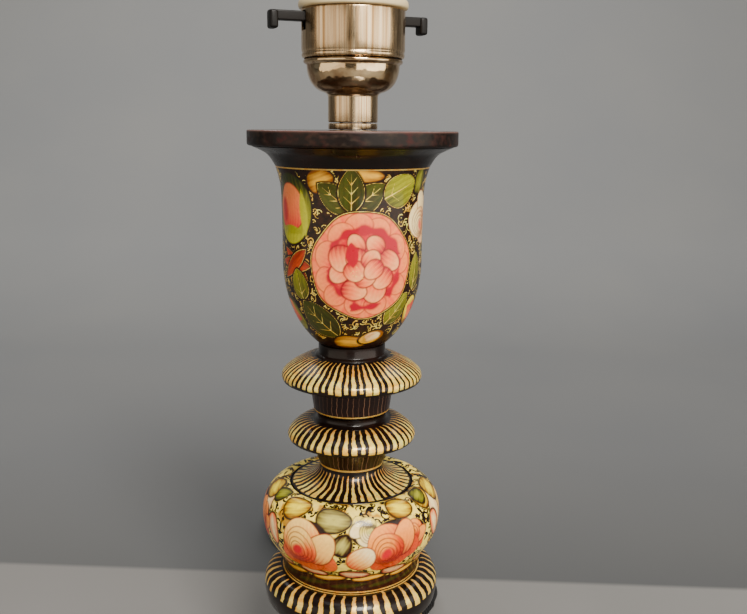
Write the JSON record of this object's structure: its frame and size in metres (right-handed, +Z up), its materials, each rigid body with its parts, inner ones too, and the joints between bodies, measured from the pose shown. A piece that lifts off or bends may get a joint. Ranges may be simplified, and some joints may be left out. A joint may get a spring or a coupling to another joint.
{
  "type": "table lamp",
  "caption": "Turned and painted wooden table lamp with a round foot, striped rings, a bell-shaped head and a push-bar bayonet lampholder.",
  "frame": {"origin": "centre of the felt pad's underside, on the lamp's axis, at the surface the lamp stands on", "axes": "+Z up along the lamp's axis, -Y is the front with the large rose, the flex leaves at the back (+Y)"},
  "size_m": [0.11, 0.2682, 0.305],
  "materials": {
    "black_lacquer": "glossy black lacquer with gold lines",
    "painted_lacquer": "glossy lacquer with hand-painted flowers",
    "felt": "wool baize",
    "zinc_steel": "zinc plated",
    "polished_nickel": "polished nickel plate",
    "brushed_nickel": "brushed nickel plate",
    "brass": "plain brass",
    "bakelite": "moulded phenolic",
    "cream_plastic": "moulded plastic",
    "fuse_ceramic": "glazed tube",
    "black_flex": "soft PVC",
    "tie": "hook and loop strap",
    "core_brown": "PVC",
    "core_blue": "PVC",
    "core_green_yellow": "PVC"
  },
  "bodies": {
    "stand": {"felt_pad": "felt", "foot": "black_lacquer", "lower_ring": "black_lacquer", "bulb": "painted_lacquer", "ring_spindle": "black_lacquer", "bell": "painted_lacquer", "top_disc": "black_lacquer", "threaded_tube": "zinc_steel", "bottom_washer": "zinc_steel", "bottom_nut": "zinc_steel", "neck_nut": "polished_nickel", "holder_cap": "polished_nickel", "grub_screw": "zinc_steel", "holder_shell": "brushed_nickel", "switch_drum": "bakelite", "plunger_spring_front": "zinc_steel", "plunger_spring_back": "zinc_steel", "bayonet_barrel": "polished_nickel", "threaded_skirt": "polished_nickel", "live_terminal": "brass", "live_screw": "zinc_steel", "live_core": "core_brown", "neutral_terminal": "brass", "neutral_screw": "zinc_steel", "neutral_core": "core_blue", "earth_tag": "brass", "earth_screw": "zinc_steel", "earth_core": "core_green_yellow", "inner_flex": "black_flex", "exit_bush": "black_flex", "strain_relief": "black_flex", "flex_lead": "black_flex", "flex_coil": "black_flex", "flex_tail": "black_flex", "coil_tie": "tie", "plug_body": "black_flex", "plug_cover": "black_flex", "plug_fuse": "fuse_ceramic", "plug_pin_earth": "brass", "plug_pin_live": "brass", "plug_pin_neutral": "brass", "plug_screw": "zinc_steel"},
    "switch_bar": {"push_bar": "bakelite", "bridge_contact": "brass"},
    "contact_front": {"plunger_front": "brass"},
    "contact_back": {"plunger_back": "brass"},
    "shade_nut": {"shade_ring": "cream_plastic"}
  },
  "joints": [
    {"name": "push_bar_slide", "type": "slide", "parent": "stand", "child": "switch_bar", "axis": [0.9348, 0.3551, 0], "range_m": [0, 0.003]},
    {"name": "plunger_front_press", "type": "slide", "parent": "stand", "child": "contact_front", "axis": [0, 0, 1], "range_m": [-0.0022, 0], "stiffness_N_per_m": 400, "springref_m": 0.0005, "deforming": ["plunger_spring_front"]},
    {"name": "plunger_back_press", "type": "slide", "parent": "stand", "child": "contact_back", "axis": [0, 0, 1], "range_m": [-0.0022, 0], "stiffness_N_per_m": 400, "springref_m": 0.0005, "deforming": ["plunger_spring_back"]},
    {"name": "shade_ring_turn", "type": "hinge", "parent": "stand", "child": "shade_nut", "pos_m": [0, 0, 0.2885], "axis": [0, 0, 1], "continuous": true}
  ]
}
